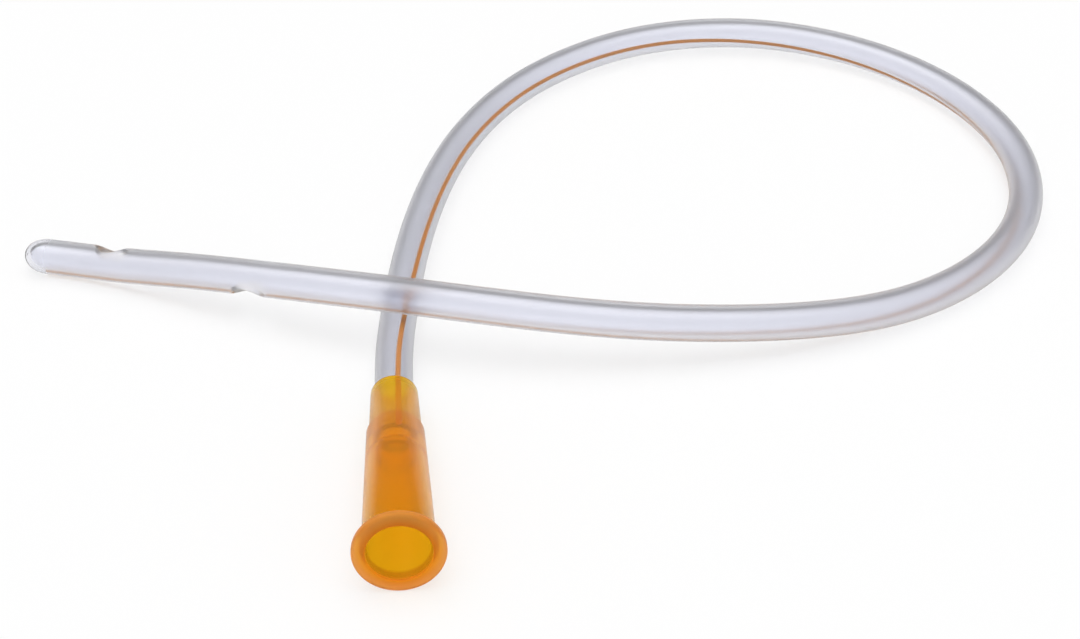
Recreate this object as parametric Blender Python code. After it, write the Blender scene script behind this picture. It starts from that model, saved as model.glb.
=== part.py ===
# Nelaton catheter: a soft clear tube with a closed round tip and two side eyes,
# pushed into the sleeve of a moulded funnel connector. It lies on a table in one
# loose loop, with the tip's arm crossing over the connector's arm.
# Units are metres, +Z is up, the table is the plane Z = 0, and the origin is on the
# table below the middle of the whole object. -Y points out of the funnel's mouth.

import math

import bmesh
import bpy
import numpy as np
from mathutils import Matrix, Vector

MM = 0.001

# The tube, size 16 on the French scale (a third of a millimetre a step)
TUBE_OUTER_RADIUS = 2.65 * MM
TUBE_BORE_RADIUS = 1.75 * MM
TIP_NOSE_LENGTH = 3.5 * MM
TIP_WALL = 0.95 * MM
TUBE_SIDES = 16
RING_SPACING = 5.0 * MM
NOSE_RINGS = 5

# The line that runs in the tube's wall, as a strip of its outer faces. The tube lies
# with a twist: these are the line's turns from straight up, as (millimetres from the
# tip, degrees).
STRIPE_WIDTH = 0.6 * MM
STRIPE_TURNS = [
    (0, 216),
    (60, 215),
    (80, 205),
    (100, 188),
    (132, 170),
    (150, 159),
    (230, 113),
    (254, 101),
    (270, 89.5),
    (290, 80),
    (310, 71),
    (330, 59.5),
    (350, 50),
    (365, 41),
    (378, 29.5),
    (389, 17.5),
    (396, 13.5),
    (408, 10),
]

# The two side eyes, punched through one wall each, on opposite sides of the tube
EYE_LENGTH = 5.1 * MM
EYE_WIDTH = 3.4 * MM
FIRST_EYE_FROM_TIP = 13.7 * MM
SECOND_EYE_FROM_TIP = 38.3 * MM
EYE_ANGLE = math.radians(32)
PUNCH_SIDES = 28

# The tube in its socket: the clearance round it, and the free length behind its end
FIT_GAP = 0.15 * MM
END_GAP = 3.4 * MM

# The funnel connector, measured along its axis from the mouth. The sleeve's radii
# follow from the tube that it holds, and the body's and the flange's from the walls.
FUNNEL_LENGTH = 34.6 * MM
SOCKET_RADIUS = TUBE_OUTER_RADIUS + FIT_GAP
SOCKET_DEPTH = 14.2 * MM
SLEEVE_LENGTH = 9.2 * MM
SLEEVE_WALL_AT_END = 0.42 * MM
SLEEVE_WALL_AT_STEP = 0.7 * MM
SLEEVE_RADIUS_AT_END = SOCKET_RADIUS + SLEEVE_WALL_AT_END
SLEEVE_RADIUS_AT_STEP = SOCKET_RADIUS + SLEEVE_WALL_AT_STEP
SLEEVE_ROUNDING = 0.3 * MM
STEP_LENGTH = 0.9 * MM
STEP_HEIGHT = 0.35 * MM
BODY_RADIUS_AT_STEP = SLEEVE_RADIUS_AT_STEP + STEP_HEIGHT
NECK_LENGTH = 1.3 * MM
NECK_LEDGE = 0.8 * MM
NECK_RADIUS = SOCKET_RADIUS - NECK_LEDGE
CONE_WALL_AT_NECK = 1.15 * MM
CONE_RADIUS_AT_NECK = BODY_RADIUS_AT_STEP - CONE_WALL_AT_NECK
MOUTH_RADIUS = 4.12 * MM
MOUTH_WALL = 0.48 * MM
FLARE_DEPTH = 7.0 * MM
FLARE_HEIGHT = 0.67 * MM
BODY_RADIUS_AT_FLANGE = MOUTH_RADIUS + MOUTH_WALL
FLANGE_HEIGHT = 1.2 * MM
FLANGE_RADIUS = BODY_RADIUS_AT_FLANGE + FLANGE_HEIGHT
FLANGE_THICKNESS = 1.2 * MM
FLANGE_ROUNDING = 0.4 * MM
LIP_ROUNDING = 0.35 * MM
FUNNEL_SEGMENTS = 32
ROUNDING_STEPS = 3

# Where the funnel lies: the middle of its mouth on the table, and its turn from -Y
MOUTH_X = -18.4 * MM
MOUTH_Y = -72.7 * MM
FUNNEL_YAW = math.radians(5.0)

# The tube's route from its tip to the sleeve, in millimetres, as it came to rest:
# on the table but for the tip's arm, which climbs over the connector's arm, and the
# back of the loop, which springs up by about half a millimetre.
ROUTE_MM = [
    (-79.9, -2.8, 2.65),
    (-73.0, -4.2, 2.65),
    (-65.8, -6.3, 3.05),
    (-54.6, -10.5, 4.8),
    (-43.5, -14.8, 6.4),
    (-32.3, -18.9, 7.7),
    (-20.8, -22.3, 8.4),
    (-9.1, -24.7, 8.3),
    (2.7, -25.9, 7.5),
    (14.7, -26.0, 6.5),
    (26.6, -24.9, 5.5),
    (38.3, -22.4, 4.4),
    (49.5, -18.0, 3.3),
    (59.5, -11.6, 2.75),
    (67.9, -3.2, 2.65),
    (73.9, 7.0, 2.65),
    (77.0, 18.5, 2.65),
    (77.1, 30.6, 2.65),
    (74.0, 42.3, 2.65),
    (68.1, 52.9, 2.65),
    (59.6, 61.6, 2.8),
    (49.2, 67.6, 3.05),
    (37.7, 70.6, 3.25),
    (25.8, 70.3, 3.25),
    (14.4, 66.9, 3.05),
    (4.3, 60.5, 2.8),
    (-4.1, 51.9, 2.65),
    (-10.5, 41.5, 2.65),
    (-15.1, 30.3, 2.65),
    (-18.2, 18.7, 2.65),
    (-20.2, 7.0, 2.65),
    (-21.4, -4.8, 2.65),
    (-22.0, -16.9, 2.65),
    (-22.1, -27.5, 2.7),
]


def funnel_axis():
    """The middle of the mouth's face, and the direction from it along the axis to the tube.

    The funnel lies on its flange's rim and on the end of its sleeve.
    """
    run = FUNNEL_LENGTH - FLANGE_THICKNESS / 2
    tilt = math.asin((FLANGE_RADIUS - SLEEVE_RADIUS_AT_END) / run)
    inward = Vector((
        -math.sin(FUNNEL_YAW) * math.cos(tilt),
        math.cos(FUNNEL_YAW) * math.cos(tilt),
        -math.sin(tilt),
    ))
    height = FLANGE_RADIUS * math.cos(tilt) + FLANGE_THICKNESS / 2 * math.sin(tilt)
    return Vector((MOUTH_X, MOUTH_Y, height)), inward


def spline_through(points):
    """A natural cubic spline through the points, as a function of the length along them."""
    points = np.array(points, float)
    steps = np.linalg.norm(np.diff(points, axis=0), axis=1)
    knots = np.concatenate([[0.0], np.cumsum(steps)])
    count = len(points)
    matrix = np.eye(count)
    right = np.zeros_like(points)
    for i in range(1, count - 1):
        matrix[i, i - 1] = steps[i - 1]
        matrix[i, i] = 2 * (steps[i - 1] + steps[i])
        matrix[i, i + 1] = steps[i]
        slope_after = (points[i + 1] - points[i]) / steps[i]
        slope_before = (points[i] - points[i - 1]) / steps[i - 1]
        right[i] = 6 * (slope_after - slope_before)
    bends = np.linalg.solve(matrix, right)

    def at(length):
        i = int(np.clip(np.searchsorted(knots, length) - 1, 0, count - 2))
        step = steps[i]
        before = (knots[i + 1] - length) / step
        after = (length - knots[i]) / step
        bend = (before**3 - before) * bends[i] + (after**3 - after) * bends[i + 1]
        return Vector(before * points[i] + after * points[i + 1] + bend * step**2 / 6)

    return at, float(knots[-1])


def tube_route():
    """The tube's middle line from the tip to its end in the sleeve, and that line's length."""
    mouth, inward = funnel_axis()
    points = [Vector(point) * MM for point in ROUTE_MM]
    points.append(mouth + inward * FUNNEL_LENGTH)
    points.append(mouth + inward * (FUNNEL_LENGTH - SOCKET_DEPTH + END_GAP))
    return spline_through(points)


def frame_at(route, length, distance):
    """Place, direction and the two cross directions (up and side) at a distance from the tip."""
    reach = 0.2 * MM
    low = max(distance - reach, 0.0)
    high = min(distance + reach, length)
    along = (route(high) - route(low)).normalized()
    up = Vector((0, 0, 1))
    up = (up - along * up.dot(along)).normalized()
    return route(distance), along, up, up.cross(along)


def stripe_angle(distance):
    """The line's angle round the tube, from straight up, at a distance from the tip."""
    places, degrees = zip(*STRIPE_TURNS)
    return math.radians(np.interp(distance / MM, places, degrees))


def ring_angles(distance):
    """Angles of a ring's points, with two of them on the line's edges."""
    half = STRIPE_WIDTH / 2 / TUBE_OUTER_RADIUS
    start = stripe_angle(distance) + half
    rest = 2 * math.pi - 2 * half
    return [start + rest * i / TUBE_SIDES for i in range(TUBE_SIDES + 1)]


def material(name, color, roughness, transmission, alpha):
    made = bpy.data.materials.new(name)
    made.use_nodes = True
    shader = made.node_tree.nodes["Principled BSDF"]
    shader.inputs["Base Color"].default_value = (*color, 1)
    shader.inputs["Roughness"].default_value = roughness
    shader.inputs["Metallic"].default_value = 0
    shader.inputs["Transmission Weight"].default_value = transmission
    shader.inputs["Alpha"].default_value = alpha
    made.diffuse_color = (*color, alpha)
    return made


def add_object(name, mesh_builder, materials):
    mesh = bpy.data.meshes.new(name)
    mesh_builder.to_mesh(mesh)
    mesh_builder.free()
    for item in materials:
        mesh.materials.append(item)
    made = bpy.data.objects.new(name, mesh)
    bpy.context.scene.collection.objects.link(made)
    return made


def smooth(made, angle):
    made.data.shade_smooth()
    made.data.set_sharp_from_angle(angle=angle)


def nose_profile(radius, nose_length):
    """Radii and distances behind the nose's end, of the rings on a half-ellipse nose."""
    rings = []
    for i in range(1, NOSE_RINGS + 1):
        turn = math.pi / 2 * i / NOSE_RINGS
        rings.append((radius * math.sin(turn), nose_length * (1 - math.cos(turn))))
    return rings


def build_tube(clear, line):
    route, length = tube_route()
    builder = bmesh.new()

    def ring(radius, distance):
        place, _, up, side = frame_at(route, length, distance)
        return [
            builder.verts.new(place + (up * math.cos(a) + side * math.sin(a)) * radius)
            for a in ring_angles(distance)
        ]

    def bridge(first, second, marked):
        count = len(first)
        for i in range(count):
            j = (i + 1) % count
            face = builder.faces.new((first[i], first[j], second[j], second[i]))
            if marked and i == count - 1:
                face.material_index = 1

    def cap(point, first, flip):
        count = len(first)
        for i in range(count):
            j = (i + 1) % count
            corners = (point, first[i], first[j]) if flip else (point, first[j], first[i])
            builder.faces.new(corners)

    bore_nose = TIP_NOSE_LENGTH - TIP_WALL
    outside = nose_profile(TUBE_OUTER_RADIUS, TIP_NOSE_LENGTH)
    inside = [(r, TIP_WALL + d) for r, d in nose_profile(TUBE_BORE_RADIUS, bore_nose)]
    spans = round((length - TIP_NOSE_LENGTH) / RING_SPACING)
    stations = [
        TIP_NOSE_LENGTH + (length - TIP_NOSE_LENGTH) * i / spans for i in range(1, spans + 1)
    ]
    outer = [ring(r, d) for r, d in outside] + [ring(TUBE_OUTER_RADIUS, d) for d in stations]
    inner = [ring(r, d) for r, d in inside] + [ring(TUBE_BORE_RADIUS, d) for d in stations]

    cap(builder.verts.new(route(0)), outer[0], flip=False)
    for first, second in zip(outer, outer[1:]):
        bridge(first, second, marked=True)
    bridge(outer[-1], inner[-1], marked=False)
    for first, second in zip(inner[::-1], inner[-2::-1]):
        bridge(first, second, marked=False)
    cap(builder.verts.new(route(TIP_WALL)), inner[0], flip=True)
    bmesh.ops.recalc_face_normals(builder, faces=builder.faces)
    tube = add_object("tube", builder, [clear, line])
    smooth(tube, math.radians(40))
    return tube, route, length


def add_eye(tube, name, route, length, distance, angle):
    """Punches one oval eye: an oval cutter from the tube's middle out through one wall."""
    place, along, up, side = frame_at(route, length, distance)
    outward = up * math.cos(angle) + side * math.sin(angle)
    across = outward.cross(along)
    reach = 2 * TUBE_OUTER_RADIUS
    builder = bmesh.new()
    bmesh.ops.create_cone(
        builder, cap_ends=True, segments=PUNCH_SIDES, radius1=1, radius2=1, depth=1
    )
    builder.transform(Matrix.Diagonal((EYE_LENGTH / 2, EYE_WIDTH / 2, reach, 1)))
    builder.transform(Matrix.Translation((0, 0, reach / 2)))
    turn = Matrix((along, across, outward)).transposed().to_4x4()
    builder.transform(Matrix.Translation(place) @ turn)
    cutter = add_object(name, builder, [])
    cutter.hide_render = True
    cutter.display_type = "WIRE"
    cut = tube.modifiers.new(name, "BOOLEAN")
    cut.operation = "DIFFERENCE"
    cut.solver = "EXACT"
    cut.object = cutter


def arc(center, radius, start, end, steps):
    """Points on an arc of the profile plane, as (distance along the axis, radius)."""
    points = []
    for i in range(steps + 1):
        turn = math.radians(start + (end - start) * i / steps)
        points.append((center[0] + radius * math.cos(turn), center[1] + radius * math.sin(turn)))
    return points


def funnel_profile():
    """The wall's closed outline, as (distance from the mouth's face, radius)."""
    step = FUNNEL_LENGTH - SLEEVE_LENGTH
    shoulder = FUNNEL_LENGTH - SOCKET_DEPTH
    rim = FLANGE_RADIUS - FLANGE_ROUNDING
    steps = ROUNDING_STEPS
    outline = [(FUNNEL_LENGTH, SOCKET_RADIUS)]
    outline += arc(
        (FUNNEL_LENGTH - SLEEVE_ROUNDING, SLEEVE_RADIUS_AT_END - SLEEVE_ROUNDING),
        SLEEVE_ROUNDING, 0, 90, steps,
    )
    outline.append((step + STEP_LENGTH / 2, SLEEVE_RADIUS_AT_STEP))
    outline.append((step - STEP_LENGTH / 2, BODY_RADIUS_AT_STEP))
    outline.append((FLANGE_THICKNESS, BODY_RADIUS_AT_FLANGE))
    outline += arc((FLANGE_THICKNESS - FLANGE_ROUNDING, rim), FLANGE_ROUNDING, 0, 90, steps)
    outline += arc((FLANGE_ROUNDING, rim), FLANGE_ROUNDING, 90, 180, steps)
    outline += arc((LIP_ROUNDING, MOUTH_RADIUS + LIP_ROUNDING), LIP_ROUNDING, 180, 270, steps)
    outline.append((FLARE_DEPTH, MOUTH_RADIUS - FLARE_HEIGHT))
    outline.append((shoulder - NECK_LENGTH, CONE_RADIUS_AT_NECK))
    outline.append((shoulder - NECK_LENGTH, NECK_RADIUS))
    outline.append((shoulder, NECK_RADIUS))
    outline.append((shoulder, SOCKET_RADIUS))
    return outline


def build_funnel(amber):
    mouth, inward = funnel_axis()
    builder = bmesh.new()
    points = [builder.verts.new((r, 0, d)) for d, r in funnel_profile()]
    count = len(points)
    edges = [builder.edges.new((points[i], points[(i + 1) % count])) for i in range(count)]
    bmesh.ops.spin(
        builder, geom=points + edges, cent=(0, 0, 0), axis=(0, 0, 1),
        angle=2 * math.pi, steps=FUNNEL_SEGMENTS,
    )
    bmesh.ops.remove_doubles(builder, verts=builder.verts, dist=0.001 * MM)
    bmesh.ops.recalc_face_normals(builder, faces=builder.faces)
    funnel = add_object("funnel_connector", builder, [amber])
    side = Vector((0, 0, 1)).cross(inward).normalized()
    up = inward.cross(side)
    turn = Matrix((side, up, inward)).transposed().to_4x4()
    funnel.matrix_world = Matrix.Translation(mouth) @ turn
    smooth(funnel, math.radians(35))
    return funnel


def main():
    for old in list(bpy.data.objects):
        bpy.data.objects.remove(old)
    clear = material("clear_soft_plastic", (0.80, 0.83, 0.90), 0.25, 0.8, 0.6)
    line = material("orange_line", (0.75, 0.25, 0.08), 0.4, 0.0, 1.0)
    amber = material("orange_moulded_plastic", (0.85, 0.30, 0.02), 0.3, 0.4, 1.0)
    tube, route, length = build_tube(clear, line)
    add_eye(tube, "first_eye_punch", route, length, FIRST_EYE_FROM_TIP, EYE_ANGLE)
    second_angle = EYE_ANGLE + math.pi
    add_eye(tube, "second_eye_punch", route, length, SECOND_EYE_FROM_TIP, second_angle)
    build_funnel(amber)


main()
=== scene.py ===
"""Nelaton catheter: a clear soft tube in one loose loop, in its orange funnel connector.

The file is laid out as an add-on and is run as a script. Every length is in metres. The
table is the plane Z = 0, -Y points out of the funnel's mouth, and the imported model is
loaded first as the fixed frame that every piece is built round.
"""

import math

import bmesh
import bpy
import numpy as np
from mathutils import Matrix, Vector


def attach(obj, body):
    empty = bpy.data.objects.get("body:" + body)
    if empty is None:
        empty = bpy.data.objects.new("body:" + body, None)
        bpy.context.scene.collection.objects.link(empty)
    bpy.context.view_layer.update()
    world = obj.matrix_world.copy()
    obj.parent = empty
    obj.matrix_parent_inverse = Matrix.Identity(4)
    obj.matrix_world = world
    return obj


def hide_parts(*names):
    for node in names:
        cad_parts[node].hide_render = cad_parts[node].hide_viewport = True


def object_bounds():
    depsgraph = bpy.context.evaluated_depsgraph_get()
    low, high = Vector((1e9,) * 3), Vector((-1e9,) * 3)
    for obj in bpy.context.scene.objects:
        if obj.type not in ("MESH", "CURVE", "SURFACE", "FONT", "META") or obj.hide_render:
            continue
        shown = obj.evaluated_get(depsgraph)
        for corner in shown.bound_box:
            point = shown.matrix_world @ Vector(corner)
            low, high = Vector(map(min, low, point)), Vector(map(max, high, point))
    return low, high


bl_info = {
    "name": "Nelaton catheter",
    "version": (1, 0, 0),
    "blender": (4, 5, 0),
    "location": "3D View > Sidebar > Catheter",
    "description": "Builds a clear nelaton catheter, its orange funnel connector and the table",
    "category": "Add Mesh",
}

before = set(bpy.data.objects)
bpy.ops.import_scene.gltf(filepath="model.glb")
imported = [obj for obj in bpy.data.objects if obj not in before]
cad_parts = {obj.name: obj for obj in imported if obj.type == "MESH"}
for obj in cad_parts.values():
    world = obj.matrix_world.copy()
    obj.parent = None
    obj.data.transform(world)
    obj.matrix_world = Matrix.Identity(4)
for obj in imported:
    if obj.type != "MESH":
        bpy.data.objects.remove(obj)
CAD_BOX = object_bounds()

MM = 0.001

# The tube's route from its tip to the sleeve, as it came to rest
ROUTE = [
    (-0.0799, -0.0028, 0.00265),
    (-0.0730, -0.0042, 0.00265),
    (-0.0658, -0.0063, 0.00305),
    (-0.0546, -0.0105, 0.0048),
    (-0.0435, -0.0148, 0.0064),
    (-0.0323, -0.0189, 0.0077),
    (-0.0208, -0.0223, 0.0084),
    (-0.0091, -0.0247, 0.0083),
    (0.0027, -0.0259, 0.0075),
    (0.0147, -0.0260, 0.0065),
    (0.0266, -0.0249, 0.0055),
    (0.0383, -0.0224, 0.0044),
    (0.0495, -0.0180, 0.0033),
    (0.0595, -0.0116, 0.00275),
    (0.0679, -0.0032, 0.00265),
    (0.0739, 0.0070, 0.00265),
    (0.0770, 0.0185, 0.00265),
    (0.0771, 0.0306, 0.00265),
    (0.0740, 0.0423, 0.00265),
    (0.0681, 0.0529, 0.00265),
    (0.0596, 0.0616, 0.0028),
    (0.0492, 0.0676, 0.00305),
    (0.0377, 0.0706, 0.00325),
    (0.0258, 0.0703, 0.00325),
    (0.0144, 0.0669, 0.00305),
    (0.0043, 0.0605, 0.0028),
    (-0.0041, 0.0519, 0.00265),
    (-0.0105, 0.0415, 0.00265),
    (-0.0151, 0.0303, 0.00265),
    (-0.0182, 0.0187, 0.00265),
    (-0.0202, 0.0070, 0.00265),
    (-0.0214, -0.0048, 0.00265),
    (-0.0220, -0.0169, 0.00265),
    (-0.0221, -0.0275, 0.0027),
]

# The line's turns from straight up, as (distance from the tip, degrees)
LINE_TURNS = [
    (0.0, 206),
    (0.060, 205),
    (0.080, 199),
    (0.100, 187),
    (0.132, 170),
    (0.150, 159),
    (0.230, 113),
    (0.254, 101),
    (0.270, 89.5),
    (0.290, 80),
    (0.310, 71),
    (0.330, 59.5),
    (0.350, 50),
    (0.365, 41),
    (0.378, 29.5),
    (0.389, 17.5),
    (0.396, 13.5),
    (0.408, 10),
]

# Where the funnel lies: the middle of its mouth on the table, and its turn from -Y
MOUTH_XY = (-0.0184, -0.0727)
FUNNEL_YAW = math.radians(5.0)

# How finely the pieces are built
TUBE_SIDES = 56
RING_SPACING = 0.8 * MM
NOSE_RINGS = 14
LIP_STEPS = 5
PATCH_LAYERS = 5
FUNNEL_SEGMENTS = 128
ROUNDING_STEPS = 8
FLARE_STEPS = 12
LIP_ROWS = 2
ROUTE_STEPS = 400
TABLE_REACH = 3.0

# Clear stretch of skin kept round each eye, and how near an eye may come to a tube's side
EYE_MARGIN = 1.4 * MM
EYE_SIDE_LIMIT = 0.985
# Gap between the line's ends and what cuts it
LINE_END_GAP = 0.05 * MM

# Finishes of the plastics
FINE_BUMP = 0.02
SOFT_PLASTIC_BENDING = 1.5


def size(name, description, default):
    return bpy.props.FloatProperty(
        name=name, description=description, default=default, min=0.0,
        unit="LENGTH", subtype="DISTANCE", precision=5,
    )


def turn(name, description, degrees):
    return bpy.props.FloatProperty(
        name=name, description=description, default=math.radians(degrees), subtype="ANGLE",
    )


def share(name, description, default):
    return bpy.props.FloatProperty(
        name=name, description=description, default=default, min=0.0, max=1.0,
        subtype="FACTOR",
    )


def color(name, description, default):
    return bpy.props.FloatVectorProperty(
        name=name, description=description, default=default, min=0.0, max=1.0,
        size=3, subtype="COLOR",
    )


def number(name, description, default):
    return bpy.props.FloatProperty(
        name=name, description=description, default=default, min=0.0,
    )


class CatheterTubeSettings(bpy.types.PropertyGroup):
    """Sizes and colours of the tube, its eyes and its line."""

    outer_radius: size("Outer radius", "Half the tube's width, size 16 French", 2.65 * MM)
    bore_radius: size("Bore radius", "Half the width of the tube's bore", 1.75 * MM)
    nose_length: size("Nose length", "Length of the rounded tip", 3.5 * MM)
    tip_wall: size("Tip wall", "Thickness of the closed end", 0.95 * MM)
    seal_radius: size("Seal radius", "Half the width of the tip's sealing mark", 0.22 * MM)
    seal_depth: size("Seal depth", "How deep the tip's sealing mark goes", 0.8 * MM)
    eye_length: size("Eye length", "Length of each side eye along the tube", 5.1 * MM)
    eye_width: size("Eye width", "Width of each side eye", 3.4 * MM)
    eye_rounding: size("Eye rounding", "Rounding of each eye's outer edge", 0.4 * MM)
    first_eye: size("First eye", "From the tip to the first eye's middle", 14.1 * MM)
    second_eye: size("Second eye", "From the tip to the second eye's middle", 38.3 * MM)
    eye_angle: turn("Eye angle", "First eye's turn from straight up", 32)
    line_width: size("Line width", "Width of the coloured line", 0.72 * MM)
    line_depth: size("Line depth", "How far the line goes into the wall", 0.3 * MM)
    line_cover: size("Line cover", "Clear plastic over the line", 0.07 * MM)
    outer_matt: share("Outer matt", "Roughness of the frosted outside", 0.32)
    bore_matt: share("Bore matt", "Roughness of the bore", 0.24)
    tip_matt: share("Tip matt", "Roughness of the heat-sealed tip", 0.1)
    tip_fade: size("Tip fade", "Where the tip's gloss has faded to matt", 4.6 * MM)
    cut_matt: share("Cut matt", "Roughness of the punched edges", 0.4)
    glued_matt: share("Glued matt", "Roughness of the outside in the glued socket", 0.05)
    clear: color("Clear plastic", "Tint of the soft clear plastic", (0.91, 0.92, 0.98))
    depth_tint: color("Depth tint", "What light keeps on its way in it", (0.80, 0.78, 0.76))
    density: number("Density", "How fast light takes on the depth tint", 120.0)
    shade_tint: color("Shade tint", "What lamplight keeps at each skin", (1.0, 1.0, 1.0))
    cut_tint: color("Cut tint", "Tint of the punched edges", (1.0, 0.96, 0.90))
    line_color: color("Line colour", "Colour of the line", (0.86, 0.38, 0.08))


class CatheterFunnelSettings(bpy.types.PropertyGroup):
    """Sizes and colours of the funnel connector."""

    length: size("Length", "From the mouth's face to the sleeve's end", 34.6 * MM)
    mouth_radius: size("Mouth radius", "Half the mouth's width", 4.12 * MM)
    flange_radius: size("Flange radius", "Half the flange's width", 5.8 * MM)
    flange_thickness: size("Flange thickness", "The flange's thickness", 1.2 * MM)
    flange_rounding: size("Flange rounding", "Rounding of the flange's rim", 0.4 * MM)
    lip_rounding: size("Lip rounding", "Rounding of the mouth's lip", 0.12 * MM)
    fillet: size("Fillet", "Hollow rounding behind the flange", 0.5 * MM)
    body_at_flange: size("Body at flange", "Body's radius at the flange", 4.6 * MM)
    body_at_step: size("Body at step", "Body's radius at the step", 3.85 * MM)
    step_length: size("Step length", "Length of the slope of the step", 0.9 * MM)
    sleeve_at_step: size("Sleeve at step", "Sleeve's radius at the step", 3.5 * MM)
    sleeve_at_end: size("Sleeve at end", "Sleeve's radius at its end", 3.22 * MM)
    sleeve_length: size("Sleeve length", "From the sleeve's end to the step", 9.2 * MM)
    socket_depth: size("Socket depth", "Depth of the socket for the tube", 14.2 * MM)
    sleeve_rounding: size("Sleeve rounding", "Rounding of the sleeve's end", 0.3 * MM)
    neck_length: size("Neck length", "Length of the neck behind the socket", 1.3 * MM)
    neck_radius: size("Neck radius", "Half the neck's width", 2.0 * MM)
    cone_at_neck: size("Cone at neck", "Inner cone's radius at the neck", 2.7 * MM)
    flare_depth: size("Flare depth", "Depth of the wider cone behind the mouth", 7.0 * MM)
    cone_at_flare: size("Cone at flare", "Cone's radius where the two meet", 3.45 * MM)
    grip: size("Grip", "How far the glued socket bites into the tube", 0.02 * MM)
    end_gap: size("End gap", "Free length of socket behind the tube's end", 2.5 * MM)
    matt: share("Matt", "Roughness of the moulded surface", 0.22)
    flange_matt: share("Flange matt", "Roughness of the flange", 0.35)
    socket_matt: share("Socket matt", "Roughness of the glued socket", 0.05)
    sleeve_tint: color("Sleeve", "Tint of the thin sleeve", (0.96, 0.57, 0.01))
    top_tint: color("Body's top", "Tint of the body's thick end", (0.94, 0.40, 0.012))
    body_tint: color("Body", "Tint of the body at the flange", (0.84, 0.43, 0.008))
    inside_tint: color("Inside", "Tint of the cone's inside", (0.77, 0.47, 0.01))
    # The lip's colour is painted shade: a darker band just inside the mouth stands in for the dark
    # look into the wall there.
    lip_painted_shade: color("Lip", "Tint just inside the mouth", (0.50, 0.20, 0.008))
    flange_tint: color("Flange", "Tint of the thick flange", (0.92, 0.28, 0.02))
    # The rim's paler colour is a painted highlight: it stands in for the reflection on the flange's
    # rounded rim.
    rim_painted_highlight: color("Rim", "Tint of the flange's rim", (0.92, 0.42, 0.10))
    shade_tint: color("Shade tint", "What lamplight keeps at each skin", (0.97, 0.93, 0.8))
    reflection: color("Reflection", "Tint of straight-on reflections", (1.0, 0.5, 0.05))
    bending: number("Bending", "Refractive index, fitted to the look", 1.25)
    clearness: share("Clearness", "How see-through the wall is", 0.8)
    flange_clearness: share("Flange clearness", "How see-through the flange is", 0.6)


class CatheterStageSettings(bpy.types.PropertyGroup):
    """The camera, the lamps and the table."""

    camera_height: size("Camera height", "Height of the camera over the table", 152.0 * MM)
    camera_back: size("Camera distance", "From the origin back to the camera", 229.4 * MM)
    camera_side: size("Camera side", "From the origin left to the camera", 1.6 * MM)
    camera_pitch: turn("Camera pitch", "How far the camera looks down", 35.5)
    lens: number("Lens", "Focal length for a 36 mm wide picture, in millimetres", 59.33)
    room: number("Room light", "Strength of the light from all round", 0.7)
    room_back: number("Room's back", "Strength of the light from low behind", 0.35)
    overhead: number("Overhead", "Strength of the wide soft light overhead", 2.15)
    key: number("Key light", "Strength of the soft lamp at the back left", 0.6)
    key_angle: turn("Key width", "How wide the key lamp looks from the table", 50)
    floor: color("Table", "Colour of the table", (0.9, 0.9, 0.9))
    floor_white: share("Table's white", "How far the near table washes out to white", 0.62)


def settings(name):
    return getattr(bpy.context.scene, name)


def spline_through(points):
    """A natural cubic spline through the points, as a function of the length along them."""
    points = np.array(points, float)
    steps = np.linalg.norm(np.diff(points, axis=0), axis=1)
    knots = np.concatenate([[0.0], np.cumsum(steps)])
    count = len(points)
    matrix = np.eye(count)
    right = np.zeros_like(points)
    for i in range(1, count - 1):
        matrix[i, i - 1] = steps[i - 1]
        matrix[i, i] = 2 * (steps[i - 1] + steps[i])
        matrix[i, i + 1] = steps[i]
        slope_after = (points[i + 1] - points[i]) / steps[i]
        slope_before = (points[i] - points[i - 1]) / steps[i - 1]
        right[i] = 6 * (slope_after - slope_before)
    bends = np.linalg.solve(matrix, right)

    def at(length):
        i = int(np.clip(np.searchsorted(knots, length) - 1, 0, count - 2))
        step = steps[i]
        before = (knots[i + 1] - length) / step
        after = (length - knots[i]) / step
        bend = (before**3 - before) * bends[i] + (after**3 - after) * bends[i + 1]
        return Vector(before * points[i] + after * points[i + 1] + bend * step**2 / 6)

    return at, float(knots[-1])


def funnel_axis():
    """The middle of the mouth's face, and the direction along the axis to the tube."""
    funnel = settings("catheter_funnel")
    half = funnel.flange_thickness / 2
    drop = funnel.flange_radius - funnel.sleeve_at_end
    tilt = math.asin(drop / (funnel.length - half))
    inward = Vector((
        -math.sin(FUNNEL_YAW) * math.cos(tilt),
        math.cos(FUNNEL_YAW) * math.cos(tilt),
        -math.sin(tilt),
    ))
    height = funnel.flange_radius * math.cos(tilt) + half * math.sin(tilt)
    return Vector((*MOUTH_XY, height)), inward


class Route:
    """The tube's middle line, with the cross directions at each distance from the tip."""

    def __init__(self):
        funnel = settings("catheter_funnel")
        mouth, inward = funnel_axis()
        inside = funnel.length - funnel.socket_depth + funnel.end_gap
        self.exit = mouth + inward * funnel.length
        points = [Vector(point) for point in ROUTE]
        self.at, self.length = spline_through(points + [self.exit, mouth + inward * inside])
        self.sleeve = self.length - (funnel.length - inside)

    def frame(self, distance):
        reach = 0.2 * MM
        low = max(distance - reach, 0.0)
        high = min(distance + reach, self.length)
        along = (self.at(high) - self.at(low)).normalized()
        up = Vector((0, 0, 1))
        up = (up - along * up.dot(along)).normalized()
        return self.at(distance), along, up, up.cross(along)

    def point(self, distance, angle, radius):
        place, _, up, side = self.frame(distance)
        return place + (up * math.cos(angle) + side * math.sin(angle)) * radius


def add_piece(name, builder, *materials):
    mesh = bpy.data.meshes.new(name)
    builder.to_mesh(mesh)
    builder.free()
    for item in materials:
        mesh.materials.append(item)
    piece = bpy.data.objects.new(name, mesh)
    bpy.context.scene.collection.objects.link(piece)
    return piece


def smooth(piece, degrees):
    piece.data.shade_smooth()
    piece.data.set_sharp_from_angle(angle=math.radians(degrees))


def bridge(builder, first, second, slot=0):
    """A closed band of faces between two rows of points."""
    count = len(first)
    for i in range(count):
        j = (i + 1) % count
        made = builder.faces.new((first[i], first[j], second[j], second[i]))
        made.material_index = slot


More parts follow.
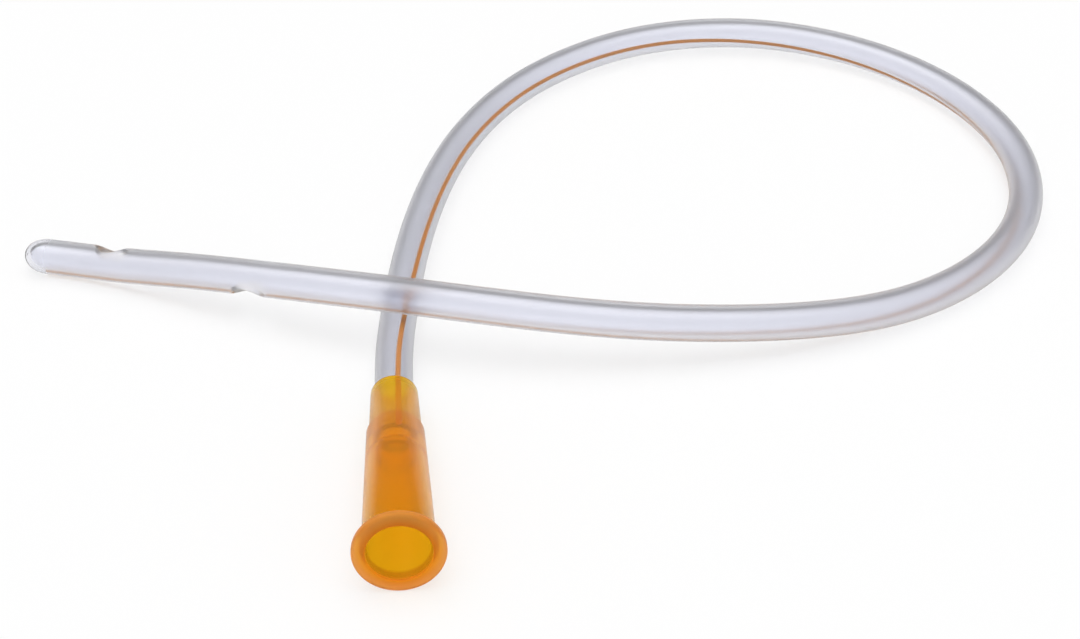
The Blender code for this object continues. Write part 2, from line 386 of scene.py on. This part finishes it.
def fan(builder, point, row):
    count = len(row)
    for i in range(count):
        builder.faces.new((point, row[i], row[(i + 1) % count]))


def nose_rings(radius, nose_length, start):
    """(distance, radius) of the rings on a half-ellipse nose that starts at a distance."""
    rings = []
    for i in range(1, NOSE_RINGS + 1):
        angle = math.pi / 2 * i / NOSE_RINGS
        rings.append((start + nose_length * (1 - math.cos(angle)), radius * math.sin(angle)))
    return rings


class Eye:
    """One punched side eye: an oval hole through one wall, straight out from the bore."""

    def __init__(self, distance, angle):
        tube = settings("catheter_tube")
        self.distance = distance
        self.angle = angle
        self.half_length = tube.eye_length / 2
        self.half_width = tube.eye_width / 2

    def cuts(self, angle, half_width):
        """Whether the hole cuts a line of that half width at that angle in the wall."""
        off = (angle - self.angle + math.pi) % (2 * math.pi) - math.pi
        radius = settings("catheter_tube").outer_radius
        return abs(off) * radius < self.half_width + half_width

    def rim(self, turn_angle, radius, grown):
        """Distance and angle of the rim's point on the wall of that radius."""
        along = (self.half_length + grown) * math.cos(turn_angle)
        across = (self.half_width + grown) * math.sin(turn_angle)
        limit = EYE_SIDE_LIMIT * radius
        across = max(-limit, min(limit, across))
        return self.distance + along, self.angle + math.asin(across / radius)


def side_eyes():
    tube = settings("catheter_tube")
    first = Eye(tube.first_eye, tube.eye_angle)
    return [first, Eye(tube.second_eye, tube.eye_angle + math.pi)]


class TubeWall:
    """The rings of the tube's outer and inner skins, with a window left for each eye."""

    def __init__(self, route):
        tube = settings("catheter_tube")
        self.route = route
        self.builder = bmesh.new()
        self.matt = self.builder.verts.layers.float.new("matt")
        self.tint = self.builder.verts.layers.float_color.new("tint")
        self.outer_radius = tube.outer_radius
        self.bore_radius = tube.bore_radius
        self.outer_matt = tube.outer_matt
        self.bore_matt = tube.bore_matt
        self.tip_matt = tube.tip_matt
        self.tip_fade = tube.tip_fade
        self.cut_matt = tube.cut_matt
        self.clear = tube.clear
        self.cut_tint = tube.cut_tint
        spans = round((route.length - tube.nose_length) / RING_SPACING)
        self.stations = [
            tube.nose_length + (route.length - tube.nose_length) * i / spans
            for i in range(1, spans + 1)
        ]
        inner_nose = tube.nose_length - tube.tip_wall
        self.outer_nose = nose_rings(tube.outer_radius, tube.nose_length, 0.0)
        self.inner_nose = nose_rings(tube.bore_radius, inner_nose, tube.tip_wall)

    def point(self, place, matt):
        made = self.builder.verts.new(place)
        made[self.matt] = matt
        made[self.tint] = (*self.clear, 1)
        return made

    def cut_point(self, place):
        made = self.point(place, self.cut_matt)
        made[self.tint] = (*self.cut_tint, 1)
        return made

    def ring(self, distance, radius, matt):
        place, _, up, side = self.route.frame(distance)
        points = []
        for i in range(TUBE_SIDES):
            angle = 2 * math.pi * i / TUBE_SIDES
            across = up * math.cos(angle) + side * math.sin(angle)
            points.append(self.point(place + across * radius, matt))
        return points

    def finish(self, distance, matt):
        """The roughness at a distance from the tip, which heat sealing left glossier."""
        part = min(distance / self.tip_fade, 1.0)
        return self.tip_matt + (matt - self.tip_matt) * part**2

    def skin(self, nose, radius, matt, glued_matt):
        rows = [self.ring(d, r, self.finish(d, matt)) for d, r in nose]
        for distance in self.stations:
            glued = distance > self.route.sleeve + RING_SPACING
            matt_here = glued_matt if glued else self.finish(distance, matt)
            rows.append(self.ring(distance, radius, matt_here))
        return rows

    def window(self, eye):
        """Row and column ranges of the faces that the eye's patch takes the place of."""
        first = NOSE_RINGS - 1
        places = [self.outer_nose[-1][0]] + self.stations
        margin = eye.half_length + EYE_MARGIN
        rows = [i for i, d in enumerate(places) if abs(d - eye.distance) <= margin]
        quarter = TUBE_SIDES // 4 + 1
        middle = round(eye.angle / (2 * math.pi) * TUBE_SIDES)
        return first + rows[0], first + rows[-1], middle - quarter, middle + quarter

    def faces(self, rows, windows):
        for i in range(len(rows) - 1):
            for j in range(TUBE_SIDES):
                k = (j + 1) % TUBE_SIDES
                if not any(self.covers(window, i, j) for window in windows):
                    self.builder.faces.new((rows[i][j], rows[i][k], rows[i + 1][k], rows[i + 1][j]))

    @staticmethod
    def covers(window, row, column):
        low, high, left, right = window
        inside = (column - left) % TUBE_SIDES < right - left
        return low <= row < high and inside

    def window_loop(self, rows, window):
        """The window's border as one closed row of points, with each one's row and column."""
        low, high, left, right = window
        cells = [(low, j) for j in range(left, right)]
        cells += [(i, right) for i in range(low, high)]
        cells += [(high, j) for j in range(right, left, -1)]
        cells += [(i, left) for i in range(high, low, -1)]
        return [rows[i][j % TUBE_SIDES] for i, j in cells], cells

    def patch(self, rows, window, eye, radius, matt, grown):
        """Layers from the window's border in to the eye's rim on one skin. Gives the rim."""
        border, cells = self.window_loop(rows, window)
        places = [d for d, _ in self.outer_nose] + self.stations
        turns = []
        spots = []
        for i, j in cells:
            angle = 2 * math.pi * j / TUBE_SIDES
            spot = (places[i], angle)
            spots.append(spot)
            along = (spot[0] - eye.distance) / eye.half_length
            across = (angle - eye.angle) * radius / eye.half_width
            turns.append(math.atan2(across, along))
        before = border
        for layer in range(1, PATCH_LAYERS + 1):
            part = layer / PATCH_LAYERS
            part = 1 - (1 - part) ** 1.4
            row = []
            for spot, turn_angle in zip(spots, turns):
                rim = eye.rim(turn_angle, radius, grown)
                distance = spot[0] + (rim[0] - spot[0]) * part
                angle = spot[1] + (rim[1] - spot[1]) * part
                row.append(self.point(self.route.point(distance, angle, radius), matt))
            bridge(self.builder, before, row)
            before = row
        return before, turns

    def lip(self, eye, outer_rim, inner_rim, turns, rounding):
        """The cut wall of the eye between its two rims, rounded at the outer edge."""
        columns = []
        for outer, inner, turn_angle in zip(outer_rim, inner_rim, turns):
            distance, angle = eye.rim(turn_angle, self.outer_radius, 0.0)
            corner = self.route.point(distance, angle, self.outer_radius)
            down = (inner.co - corner)
            start = corner + down.normalized() * min(rounding, down.length * 0.6)
            column = [outer]
            for step in range(1, LIP_STEPS + 1):
                t = step / LIP_STEPS
                place = outer.co * (1 - t) ** 2 + corner * 2 * t * (1 - t) + start * t**2
                column.append(self.cut_point(place))
            for step in (1, 2):
                t = step / 3
                column.append(self.cut_point(start.lerp(inner.co, t)))
            column.append(inner)
            columns.append(column)
        for step in range(len(columns[0]) - 1):
            first = [column[step] for column in columns]
            second = [column[step + 1] for column in columns]
            bridge(self.builder, first, second)

    def seal(self, first_ring):
        """The apex, with the small pit that heat sealing leaves."""
        tube = settings("catheter_tube")
        pit = self.ring(0.0, tube.seal_radius, self.tip_matt)
        bridge(self.builder, first_ring, pit)
        fan(self.builder, self.point(self.route.at(tube.seal_depth), self.tip_matt), pit)

    def build(self, eyes, rounding):
        glued_matt = settings("catheter_tube").glued_matt
        outer = self.skin(self.outer_nose, self.outer_radius, self.outer_matt, glued_matt)
        inner = self.skin(self.inner_nose, self.bore_radius, self.bore_matt, self.bore_matt)
        windows = [self.window(eye) for eye in eyes]
        self.faces(outer, windows)
        self.faces(inner, windows)
        self.seal(outer[0])
        inner_end = self.route.at(settings("catheter_tube").tip_wall)
        fan(self.builder, self.point(inner_end, self.tip_matt), inner[0])
        bridge(self.builder, outer[-1], inner[-1])
        for eye, window in zip(eyes, windows):
            outer_rim, turns = self.patch(
                outer, window, eye, self.outer_radius, self.outer_matt, rounding
            )
            inner_rim, _ = self.patch(
                inner, window, eye, self.bore_radius, self.bore_matt, 0.0
            )
            self.lip(eye, outer_rim, inner_rim, turns, rounding)
        bmesh.ops.recalc_face_normals(self.builder, faces=self.builder.faces)
        return self.builder


# Materials


def node(tree, kind, place, **values):
    made = tree.nodes.new(kind)
    made.location = place
    for name, value in values.items():
        setattr(made, name, value)
    return made


def new_material(name):
    """A material with an empty tree and an output."""
    made = bpy.data.materials.new(name)
    made.use_nodes = True
    made.node_tree.nodes.clear()
    out = node(made.node_tree, "ShaderNodeOutputMaterial", (600, 0))
    return made, made.node_tree, out


def moulded_surface():
    """A shader group with the fine marks of extruded and moulded soft plastic."""
    name = "Soft plastic surface"
    if name in bpy.data.node_groups:
        return bpy.data.node_groups[name]
    group = bpy.data.node_groups.new(name, "ShaderNodeTree")
    face = group.interface
    for label, default in (
        ("Grain size", 0.0004),
        ("Roughness", 0.25),
        ("Roughness spread", 0.03),
        ("Bump", 0.1),
    ):
        socket = face.new_socket(label, in_out="INPUT", socket_type="NodeSocketFloat")
        socket.default_value = default
    socket = face.new_socket("Color", in_out="INPUT", socket_type="NodeSocketColor")
    socket.default_value = (1, 1, 1, 1)
    socket = face.new_socket("Haze", in_out="INPUT", socket_type="NodeSocketFloat")
    socket.default_value = 0.03
    face.new_socket("Color", in_out="OUTPUT", socket_type="NodeSocketColor")
    face.new_socket("Roughness", in_out="OUTPUT", socket_type="NodeSocketFloat")
    face.new_socket("Normal", in_out="OUTPUT", socket_type="NodeSocketVector")
    start = node(group, "NodeGroupInput", (-900, 0))
    end = node(group, "NodeGroupOutput", (500, 0))
    spot = node(group, "ShaderNodeTexCoord", (-900, -300))
    link = group.links.new

    scale = node(group, "ShaderNodeMath", (-700, -150), operation="DIVIDE")
    scale.inputs[0].default_value = 1.0
    link(start.outputs["Grain size"], scale.inputs[1])
    grain = node(group, "ShaderNodeTexNoise", (-500, -150))
    grain.inputs["Detail"].default_value = 2.0
    link(spot.outputs["Object"], grain.inputs["Vector"])
    link(scale.outputs[0], grain.inputs["Scale"])
    cloud = node(group, "ShaderNodeTexNoise", (-500, -400))
    cloud.inputs["Scale"].default_value = 160.0
    cloud.inputs["Detail"].default_value = 3.0
    link(spot.outputs["Object"], cloud.inputs["Vector"])

    offset = node(group, "ShaderNodeMath", (-250, -250), operation="SUBTRACT")
    link(cloud.outputs["Fac"], offset.inputs[0])
    offset.inputs[1].default_value = 0.5
    rough = node(group, "ShaderNodeMath", (-50, -200), operation="MULTIPLY_ADD")
    link(offset.outputs[0], rough.inputs[0])
    link(start.outputs["Roughness spread"], rough.inputs[1])
    link(start.outputs["Roughness"], rough.inputs[2])
    link(rough.outputs[0], end.inputs["Roughness"])

    shade = node(group, "ShaderNodeMath", (-50, 100), operation="MULTIPLY")
    link(offset.outputs[0], shade.inputs[0])
    link(start.outputs["Haze"], shade.inputs[1])
    keep = node(group, "ShaderNodeMath", (120, 100), operation="ADD")
    link(shade.outputs[0], keep.inputs[0])
    keep.inputs[1].default_value = 1.0
    tint = node(group, "ShaderNodeVectorMath", (300, 150), operation="SCALE")
    link(start.outputs["Color"], tint.inputs[0])
    link(keep.outputs[0], tint.inputs["Scale"])
    link(tint.outputs[0], end.inputs["Color"])

    bump = node(group, "ShaderNodeBump", (200, -350))
    bump.inputs["Distance"].default_value = 0.00002
    link(start.outputs["Bump"], bump.inputs["Strength"])
    link(grain.outputs["Fac"], bump.inputs["Height"])
    link(bump.outputs["Normal"], end.inputs["Normal"])
    return group


def plastic(name, tint, bump, transmission, bending, reflection, lamp_tint=None, volume=None):
    """A plastic that lets through the given share of light. When a lamp tint is given, lamps shine
    through it by a stand-in for shadow rays.
    """
    made, tree, out = new_material(name)
    surface = node(tree, "ShaderNodeGroup", (-300, 0), node_tree=moulded_surface())
    surface.inputs["Bump"].default_value = bump
    surface.inputs["Color"].default_value = (*tint, 1)
    shader = node(tree, "ShaderNodeBsdfPrincipled", (0, 0))
    shader.inputs["Metallic"].default_value = 0.0
    shader.inputs["IOR"].default_value = bending
    shader.inputs["Transmission Weight"].default_value = transmission
    shader.inputs["Specular Tint"].default_value = (*reflection, 1)
    link = tree.links.new
    link(surface.outputs["Color"], shader.inputs["Base Color"])
    link(surface.outputs["Roughness"], shader.inputs["Roughness"])
    link(surface.outputs["Normal"], shader.inputs["Normal"])
    if lamp_tint is None:
        link(shader.outputs["BSDF"], out.inputs["Surface"])
    else:
        through = node(tree, "ShaderNodeBsdfTransparent", (0, -350))
        through.inputs["Color"].default_value = (*lamp_tint, 1)
        rays = node(tree, "ShaderNodeLightPath", (0, 350))
        mix = node(tree, "ShaderNodeMixShader", (350, 0))
        link(rays.outputs["Is Shadow Ray"], mix.inputs["Fac"])
        link(shader.outputs["BSDF"], mix.inputs[1])
        link(through.outputs["BSDF"], mix.inputs[2])
        link(mix.outputs["Shader"], out.inputs["Surface"])
    if volume is not None:
        depth_tint, density = volume
        inside = node(tree, "ShaderNodeVolumeAbsorption", (350, -250))
        inside.inputs["Color"].default_value = (*depth_tint, 1)
        inside.inputs["Density"].default_value = density
        link(inside.outputs["Volume"], out.inputs["Volume"])
    return made, tree, surface


def link_mesh_values(tree, surface):
    """Takes the roughness and the tint from the mesh's own values at each point."""
    matt = node(tree, "ShaderNodeAttribute", (-550, 0), attribute_name="matt")
    tree.links.new(matt.outputs["Fac"], surface.inputs["Roughness"])
    tint = node(tree, "ShaderNodeAttribute", (-550, 200), attribute_name="tint")
    tree.links.new(tint.outputs["Color"], surface.inputs["Color"])


# Operators


class CATHETER_OT_tube(bpy.types.Operator):
    """Builds the clear tube with its bore, round tip and two side eyes"""

    bl_idname = "catheter.tube"
    bl_label = "Tube"

    def execute(self, context):
        tube = settings("catheter_tube")
        route = Route()
        builder = TubeWall(route).build(side_eyes(), tube.eye_rounding)
        clear, tree, surface = plastic(
            "Clear soft plastic", tube.clear, FINE_BUMP, 1.0, SOFT_PLASTIC_BENDING, (1, 1, 1),
            lamp_tint=tube.shade_tint, volume=(tube.depth_tint, tube.density),
        )
        link_mesh_values(tree, surface)
        piece = add_piece("clear_tube", builder, clear)
        smooth(piece, 50)
        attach(piece, "root")
        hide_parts("tube")
        return {"FINISHED"}


class CATHETER_OT_line(bpy.types.Operator):
    """Builds the orange line that runs in the tube's wall"""

    bl_idname = "catheter.line"
    bl_label = "Line in the wall"

    @staticmethod
    def angle(distance):
        places, degrees = zip(*LINE_TURNS)
        return math.radians(np.interp(distance, places, degrees))

    def spans(self, route):
        """The line's lengths as (start, end), one on each side of an eye that cuts it."""
        tube = settings("catheter_tube")
        start = tube.nose_length
        spans = []
        for eye in side_eyes():
            if eye.cuts(self.angle(eye.distance), tube.line_width / 2):
                reach = eye.half_length + tube.eye_rounding + LINE_END_GAP
                spans.append((start, eye.distance - reach))
                start = eye.distance + reach
        return spans + [(start, route.length - LINE_END_GAP)]

    def strip(self, builder, route, start, end):
        tube = settings("catheter_tube")
        count = round((end - start) / RING_SPACING)
        half = tube.line_width / 2 / tube.outer_radius
        top = tube.outer_radius - tube.line_cover
        rows = []
        for i in range(count + 1):
            distance = start + (end - start) * i / count
            angle = self.angle(distance)
            spots = [(angle + half * k, top) for k in (-1, -0.5, 0, 0.5, 1)]
            spots += [(angle + half * k, top - tube.line_depth) for k in (0.5, -0.5)]
            rows.append([builder.verts.new(route.point(distance, a, r)) for a, r in spots])
        for first, second in zip(rows, rows[1:]):
            bridge(builder, first, second)
        builder.faces.new(rows[0])
        builder.faces.new(rows[-1])

    def execute(self, context):
        tube = settings("catheter_tube")
        route = Route()
        builder = bmesh.new()
        for start, end in self.spans(route):
            self.strip(builder, route, start, end)
        bmesh.ops.recalc_face_normals(builder, faces=builder.faces)
        colour, _, _ = plastic(
            "Orange line plastic", tube.line_color, FINE_BUMP, 0.0, SOFT_PLASTIC_BENDING, (1, 1, 1)
        )
        piece = add_piece("orange_line", builder, colour)
        smooth(piece, 40)
        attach(piece, "root")
        return {"FINISHED"}


class CATHETER_OT_funnel(bpy.types.Operator):
    """Builds the orange funnel connector with its flange, body, step and sleeve"""

    bl_idname = "catheter.funnel"
    bl_label = "Funnel connector"

    @staticmethod
    def arc(center, radius, start, end, part):
        points = []
        for i in range(ROUNDING_STEPS + 1):
            angle = math.radians(start + (end - start) * i / ROUNDING_STEPS)
            along = center[0] + radius * math.cos(angle)
            points.append((along, center[1] + radius * math.sin(angle), part))
        return points

    def flare(self, funnel):
        """The inner wall from the lip down to the cone, its slope easing into the cone's."""
        start = Vector((funnel.lip_rounding, funnel.mouth_radius))
        end = Vector((funnel.flare_depth, funnel.cone_at_flare))
        neck = funnel.length - funnel.socket_depth - funnel.neck_length
        slope = (funnel.cone_at_neck - end.y) / (neck - end.x)
        half = (end.x - start.x) / 2
        middle = Vector((end.x - half, end.y - slope * half))
        points = []
        for i in range(1, FLARE_STEPS + 1):
            t = i / FLARE_STEPS
            place = start * (1 - t) ** 2 + middle * 2 * t * (1 - t) + end * t**2
            points.append((place.x, place.y, "lip" if i <= LIP_ROWS else "inside"))
        return points

    def outline(self, funnel, socket):
        """The wall's closed outline: (distance from the mouth's face, radius, part)."""
        step = funnel.length - funnel.sleeve_length
        shoulder = funnel.length - funnel.socket_depth
        rim = funnel.flange_radius - funnel.flange_rounding
        half_step = funnel.step_length / 2
        end = funnel.sleeve_rounding
        start = (funnel.length - end, funnel.sleeve_at_end - end)
        points = self.arc(start, end, 0, 90, "sleeve")
        points.append((step + half_step, funnel.sleeve_at_step, "sleeve"))
        points.append((step - half_step, funnel.body_at_step, "top"))
        back = (funnel.flange_thickness + funnel.fillet, funnel.body_at_flange + funnel.fillet)
        points += self.arc(back, funnel.fillet, 270, 180, "body")
        edge = funnel.flange_rounding
        points += self.arc((funnel.flange_thickness - edge, rim), edge, 0, 90, "rim")
        points += self.arc((edge, rim), edge, 90, 180, "rim")
        lip = funnel.lip_rounding
        points += self.arc((lip, funnel.mouth_radius + lip), lip, 180, 270, "flange")
        points += self.flare(funnel)
        neck = shoulder - funnel.neck_length
        points.append((neck, funnel.cone_at_neck, "inside"))
        points.append((neck, funnel.neck_radius, "inside"))
        points.append((shoulder, funnel.neck_radius, "inside"))
        points.append((shoulder, socket, "socket"))
        points.append((funnel.length, socket, "socket"))
        return points

    @staticmethod
    def amber(name, clearness):
        """The moulded plastic, with the tint painted on the mesh at each point, which holds painted
        shade just inside the mouth and a painted highlight on the flange's rim.
        """
        funnel = settings("catheter_funnel")
        made, tree, surface = plastic(
            name, funnel.body_tint, FINE_BUMP, clearness, funnel.bending, funnel.reflection,
            lamp_tint=funnel.shade_tint,
        )
        link_mesh_values(tree, surface)
        return made

    def execute(self, context):
        funnel = settings("catheter_funnel")
        socket = settings("catheter_tube").outer_radius - funnel.grip
        mouth, inward = funnel_axis()
        side = Vector((0, 0, 1)).cross(inward).normalized()
        up = inward.cross(side)
        builder = bmesh.new()
        matt = builder.verts.layers.float.new("matt")
        tint = builder.verts.layers.float_color.new("tint")
        # Roughness and tint of each part. The tints are fitted to the look, zone by zone; the lip's
        # holds painted shade and the rim's a painted highlight.
        finish = {
            "sleeve": (funnel.matt, funnel.sleeve_tint),
            "top": (funnel.matt, funnel.top_tint),
            "body": (funnel.matt, funnel.body_tint),
            "rim": (funnel.flange_matt, funnel.rim_painted_highlight),
            "flange": (funnel.flange_matt, funnel.flange_tint),
            "lip": (funnel.matt, funnel.lip_painted_shade),
            "inside": (funnel.matt, funnel.inside_tint),
            "socket": (funnel.socket_matt, funnel.sleeve_tint),
        }
        rows = []
        parts = []
        for distance, radius, part in self.outline(funnel, socket):
            row = []
            for i in range(FUNNEL_SEGMENTS):
                angle = 2 * math.pi * i / FUNNEL_SEGMENTS
                across = up * math.cos(angle) + side * math.sin(angle)
                made = builder.verts.new(mouth + inward * distance + across * radius)
                made[matt] = finish[part][0]
                made[tint] = (*finish[part][1], 1)
                row.append(made)
            rows.append(row)
            parts.append(part)
        for i, row in enumerate(rows):
            j = (i + 1) % len(rows)
            thick = {parts[i], parts[j]} & {"rim", "flange"}
            bridge(builder, row, rows[j], 1 if thick else 0)
        bmesh.ops.remove_doubles(builder, verts=builder.verts, dist=0.0005 * MM)
        bmesh.ops.recalc_face_normals(builder, faces=builder.faces)
        piece = add_piece(
            "orange_funnel", builder,
            self.amber("Orange moulded plastic", funnel.clearness),
            self.amber("Orange thick plastic", funnel.flange_clearness),
        )
        smooth(piece, 35)
        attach(piece, "root")
        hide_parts("funnel_connector")
        return {"FINISHED"}


class CATHETER_OT_lay(bpy.types.Operator):
    """Works out points along the tube's route, from the sleeve to the tip, and does nothing more
    with them
    """

    bl_idname = "catheter.lay"
    bl_label = "Tube as a free cord"

    def execute(self, context):
        tube = settings("catheter_tube")
        route = Route()
        steps = ROUTE_STEPS
        path = [tuple(route.at(route.length * i / steps)) for i in range(steps, -1, -1)]
        return {"FINISHED"}


class CATHETER_OT_stage(bpy.types.Operator):
    """Sets up the camera, the lamps and the white table"""

    bl_idname = "catheter.stage"
    bl_label = "Camera, lamps and table"

    def key(self, stage):
        data = bpy.data.lights.new("Key", "SUN")
        data.energy = stage.key
        data.angle = stage.key_angle
        thing = bpy.data.objects.new("Key", data)
        bpy.context.scene.collection.objects.link(thing)
        thing.location = (-0.45, 0.35, 0.9)
        thing.rotation_euler = (-thing.location).to_track_quat("-Z", "Y").to_euler()

    def camera(self, stage):
        data = bpy.data.cameras.new("Camera")
        data.sensor_fit = "HORIZONTAL"
        data.sensor_width = 36.0
        data.lens = stage.lens
        data.clip_start = 0.005
        data.clip_end = 20.0
        thing = bpy.data.objects.new("Camera", data)
        bpy.context.scene.collection.objects.link(thing)
        thing.location = (-stage.camera_side, -stage.camera_back, stage.camera_height)
        thing.rotation_euler = (math.pi / 2 - stage.camera_pitch, 0, 0)
        bpy.context.scene.camera = thing

    def world(self, stage):
        """White to the camera; a soft room for the light, darker low behind the object."""
        world = bpy.data.worlds.new("Soft white room")
        world.use_nodes = True
        bpy.context.scene.world = world
        tree = world.node_tree
        tree.nodes.clear()
        link = tree.links.new
        place = node(tree, "ShaderNodeTexCoord", (-1200, 0))
        parts = node(tree, "ShaderNodeSeparateXYZ", (-1000, 0))
        link(place.outputs["Generated"], parts.inputs[0])
        back = self.ramp(tree, (-800, 100), 0.05, 0.55, 0.0, 1.0)
        link(parts.outputs["Y"], back.inputs["Value"])
        low = self.ramp(tree, (-800, -150), 0.55, 0.85, 1.0, 0.0)
        link(parts.outputs["Z"], low.inputs["Value"])
        both = node(tree, "ShaderNodeMath", (-600, 0), operation="MULTIPLY")
        link(back.outputs[0], both.inputs[0])
        link(low.outputs[0], both.inputs[1])
        sides = self.ramp(tree, (-400, 0), 0.0, 1.0, stage.room, stage.room_back)
        link(both.outputs[0], sides.inputs["Value"])
        top = self.ramp(tree, (-400, -250), 0.8, 0.93, 0.0, stage.overhead)
        link(parts.outputs["Z"], top.inputs["Value"])
        strength = node(tree, "ShaderNodeMath", (-250, -50), operation="ADD")
        link(sides.outputs[0], strength.inputs[0])
        link(top.outputs[0], strength.inputs[1])
        rays = node(tree, "ShaderNodeLightPath", (-400, 400))
        light = node(tree, "ShaderNodeBackground", (-150, 100))
        link(strength.outputs[0], light.inputs["Strength"])
        white = node(tree, "ShaderNodeBackground", (-150, -100))
        mix = node(tree, "ShaderNodeMixShader", (50, 0))
        out = node(tree, "ShaderNodeOutputWorld", (250, 0))
        link(rays.outputs["Is Camera Ray"], mix.inputs["Fac"])
        link(light.outputs[0], mix.inputs[1])
        link(white.outputs[0], mix.inputs[2])
        link(mix.outputs[0], out.inputs["Surface"])

    @staticmethod
    def ramp(tree, place, low, high, at_low, at_high):
        made = node(tree, "ShaderNodeMapRange", place, interpolation_type="SMOOTHSTEP")
        for socket, value in zip(made.inputs[1:5], (low, high, at_low, at_high)):
            socket.default_value = value
        return made

    def table(self, stage):
        """A matt table, washed out to plain white away from the object."""
        builder = bmesh.new()
        low = CAD_BOX[0][2] - 0.02 * MM
        bmesh.ops.create_grid(builder, x_segments=8, y_segments=8, size=TABLE_REACH)
        builder.transform(Matrix.Translation((0, 0, low)))
        made, tree, out = new_material("White table")
        link = tree.links.new
        shader = node(tree, "ShaderNodeBsdfPrincipled", (-100, 100))
        shader.inputs["Base Color"].default_value = (*stage.floor, 1)
        shader.inputs["Roughness"].default_value = 0.9
        shader.inputs["Specular IOR Level"].default_value = 0.1
        glow = node(tree, "ShaderNodeEmission", (-100, -300))
        glow.inputs["Strength"].default_value = 1.0
        spot = node(tree, "ShaderNodeTexCoord", (-900, -100))
        away = node(tree, "ShaderNodeVectorMath", (-700, -100), operation="LENGTH")
        link(spot.outputs["Object"], away.inputs[0])
        white = self.ramp(tree, (-500, -100), 0.12, 0.4, stage.floor_white, 1.0)
        link(away.outputs["Value"], white.inputs["Value"])
        rays = node(tree, "ShaderNodeLightPath", (-900, 300))
        any_ray = node(tree, "ShaderNodeMath", (-700, 300), operation="MAXIMUM")
        seen = node(tree, "ShaderNodeMath", (-500, 300), operation="MAXIMUM")
        part = node(tree, "ShaderNodeMath", (-300, 300), operation="MULTIPLY")
        mix = node(tree, "ShaderNodeMixShader", (300, 0))
        link(rays.outputs["Is Camera Ray"], any_ray.inputs[0])
        link(rays.outputs["Is Glossy Ray"], any_ray.inputs[1])
        link(any_ray.outputs[0], seen.inputs[0])
        link(rays.outputs["Is Transmission Ray"], seen.inputs[1])
        link(seen.outputs[0], part.inputs[0])
        link(white.outputs[0], part.inputs[1])
        link(part.outputs[0], mix.inputs["Fac"])
        link(shader.outputs["BSDF"], mix.inputs[1])
        link(glow.outputs[0], mix.inputs[2])
        link(mix.outputs[0], out.inputs["Surface"])
        floor = add_piece("table", builder, made)

    def execute(self, context):
        stage = settings("catheter_stage")
        context.scene.view_settings.view_transform = "Standard"
        self.camera(stage)
        self.world(stage)
        self.table(stage)
        self.key(stage)
        return {"FINISHED"}


class CATHETER_PT_panel(bpy.types.Panel):
    """Lists the catheter's pieces in the sidebar"""

    bl_idname = "CATHETER_PT_panel"
    bl_label = "Nelaton catheter"
    bl_space_type = "VIEW_3D"
    bl_region_type = "UI"
    bl_category = "Catheter"

    def draw(self, context):
        for operator in OPERATORS:
            self.layout.operator(operator.bl_idname)
        for name in ("catheter_tube", "catheter_funnel", "catheter_stage"):
            group = getattr(context.scene, name)
            box = self.layout.box()
            for key in group.bl_rna.properties.keys():
                if key not in ("rna_type", "name"):
                    box.prop(group, key)


OPERATORS = (
    CATHETER_OT_stage,
    CATHETER_OT_tube,
    CATHETER_OT_line,
    CATHETER_OT_funnel,
    CATHETER_OT_lay,
)
SETTINGS = {
    "catheter_tube": CatheterTubeSettings,
    "catheter_funnel": CatheterFunnelSettings,
    "catheter_stage": CatheterStageSettings,
}


def register():
    for group in SETTINGS.values():
        bpy.utils.register_class(group)
    for name, group in SETTINGS.items():
        setattr(bpy.types.Scene, name, bpy.props.PointerProperty(type=group))
    for kind in (*OPERATORS, CATHETER_PT_panel):
        bpy.utils.register_class(kind)


def unregister():
    for kind in reversed((*OPERATORS, CATHETER_PT_panel)):
        bpy.utils.unregister_class(kind)
    for name in SETTINGS:
        delattr(bpy.types.Scene, name)
    for group in reversed(list(SETTINGS.values())):
        bpy.utils.unregister_class(group)


def main():
    register()
    bpy.ops.catheter.stage()
    bpy.ops.catheter.tube()
    bpy.ops.catheter.line()
    bpy.ops.catheter.funnel()
    bpy.ops.catheter.lay()


if __name__ == "__main__":
    main()
